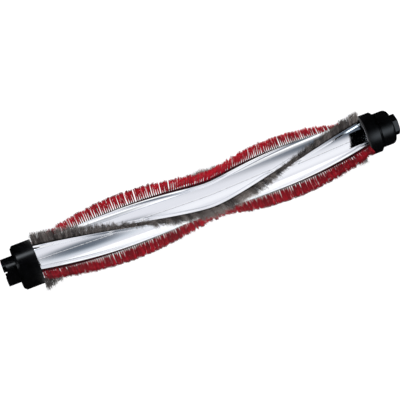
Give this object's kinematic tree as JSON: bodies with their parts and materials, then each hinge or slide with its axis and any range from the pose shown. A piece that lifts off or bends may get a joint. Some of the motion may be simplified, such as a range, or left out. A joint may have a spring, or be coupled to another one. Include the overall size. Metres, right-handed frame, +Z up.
{
  "type": "floor cleaner brush roll",
  "caption": "Brush roll of a floor cleaner: a twisted metal tube with alternate stiff and soft bristle strips, a castellated drive coupling and a keyed bearing end.",
  "frame": {"origin": "on the roller's axis, midway along the overall length, which is the centre of the bounding box", "axes": "+X along the roller's axis from the drive coupling to the bearing end, +Z up, angles about the axis counted from +Y towards +Z"},
  "size_m": [0.27, 0.043, 0.0458],
  "materials": {
    "aluminium_tube": "bright drawn and twisted",
    "red_backing": "moulded nylon",
    "grey_backing": "moulded nylon",
    "red_nylon": "stiff tufted bristles",
    "grey_fibre": "dense soft bristles",
    "black_plastic": "satin moulded",
    "bearing_steel": "ground",
    "shaft_steel": "turned",
    "zinc_steel": "zinc plated",
    "spring_steel": "blackened",
    "cage_nylon": "moulded",
    "seal_felt": "pressed felt"
  },
  "bodies": {
    "holder": {"bearing_holder": "black_plastic", "bearing_outer_race": "bearing_steel", "bearing_shield_inner": "bearing_steel", "bearing_shield_outer": "bearing_steel", "dust_seal": "seal_felt"},
    "roller": {"core_tube": "aluminium_tube", "red_strip_1": "red_backing", "red_strip_2": "red_backing", "grey_strip_1": "grey_backing", "grey_strip_2": "grey_backing", "red_bristles_1": "red_nylon", "red_bristles_2": "red_nylon", "grey_bristles_1": "grey_fibre", "grey_bristles_2": "grey_fibre", "drive_end_cap": "black_plastic", "drive_coupling": "black_plastic", "drive_dowel": "shaft_steel", "coupling_screw": "zinc_steel", "coupling_washer": "zinc_steel", "idle_end_cap": "black_plastic", "idle_shaft": "shaft_steel", "spacer_sleeve": "zinc_steel", "shaft_clip": "spring_steel", "bearing_inner_race": "bearing_steel"},
    "ball_set": {"bearing_balls": "bearing_steel", "bearing_cage": "cage_nylon"}
  },
  "joints": [
    {"name": "roller_spin", "type": "hinge", "parent": "holder", "child": "roller", "pos_m": [0.1258, 0, 0], "axis": [1, 0, 0], "continuous": true},
    {"name": "ball_set_spin", "type": "hinge", "parent": "holder", "child": "ball_set", "pos_m": [0.1258, 0, 0], "axis": [1, 0, 0], "continuous": true}
  ],
  "couplings": [
    {"joint": "ball_set_spin", "follows": "roller_spin", "ratio": 0.36}
  ]
}
